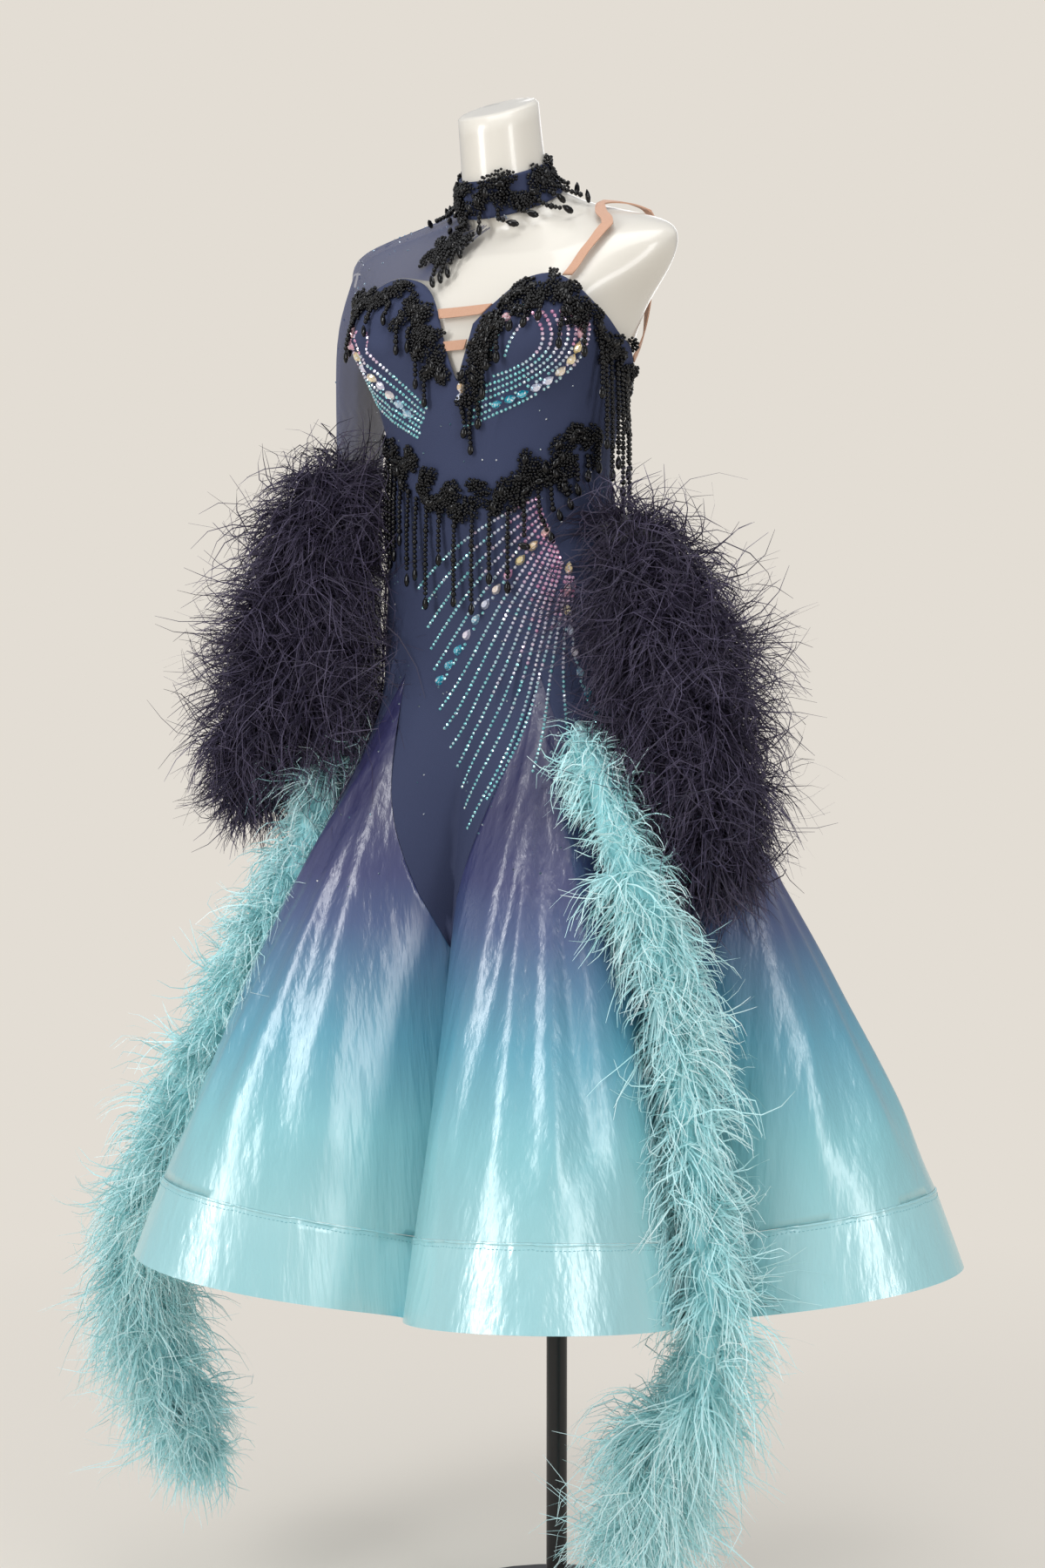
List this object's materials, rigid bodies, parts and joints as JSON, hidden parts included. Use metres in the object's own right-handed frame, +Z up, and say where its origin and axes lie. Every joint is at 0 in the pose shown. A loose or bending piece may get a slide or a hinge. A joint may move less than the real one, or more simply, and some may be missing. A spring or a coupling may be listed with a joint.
{
  "type": "ballroom gown on a limbless dress form with its stand",
  "caption": "Ballroom gown with one net sleeve, a flared satin skirt, bead fringe and feather floats, worn by a limbless dress form on a pole and round base.",
  "frame": {"origin": "centre of the stand base's underside, on the floor", "axes": "+Z up the pole, -Y the way the wearer faces, +X towards the wearer's left"},
  "size_m": [1.0211, 0.8624, 1.7125],
  "materials": {
    "form_gloss": "gloss",
    "stand_black": "satin",
    "crepe_navy": "matt crepe",
    "net_navy": "sheer stretch net",
    "satin_ombre": "satin, dyed in a fade",
    "satin_aqua": "satin",
    "nude_elastic": "matt elastic",
    "beads_black": "cut glass beads",
    "feather_dark": "soft feather",
    "feather_aqua": "soft feather"
  },
  "bodies": {
    "root": {"stand_pole": "stand_black", "stand_base": "stand_black", "form_torso": "form_gloss", "body_front": "crepe_navy", "body_back": "crepe_navy", "godet_1": "satin_ombre", "godet_2": "satin_ombre", "godet_3": "satin_ombre", "godet_4": "satin_ombre", "godet_5": "satin_ombre", "godet_6": "satin_ombre", "hem_band": "satin_aqua", "yoke_front": "net_navy", "yoke_back": "net_navy", "collar": "crepe_navy", "sleeve": "net_navy", "strap_shoulder": "nude_elastic", "strap_keyhole_upper": "nude_elastic", "strap_keyhole_lower": "nude_elastic", "trim_collar": "beads_black", "trim_yoke": "beads_black", "trim_right_cup": "beads_black", "trim_left_cup": "beads_black", "trim_side": "beads_black", "trim_waist": "beads_black", "float_right_dark": "feather_dark", "float_right_aqua": "feather_aqua", "float_left_dark": "feather_dark", "float_left_aqua": "feather_aqua"}
  },
  "joints": []
}
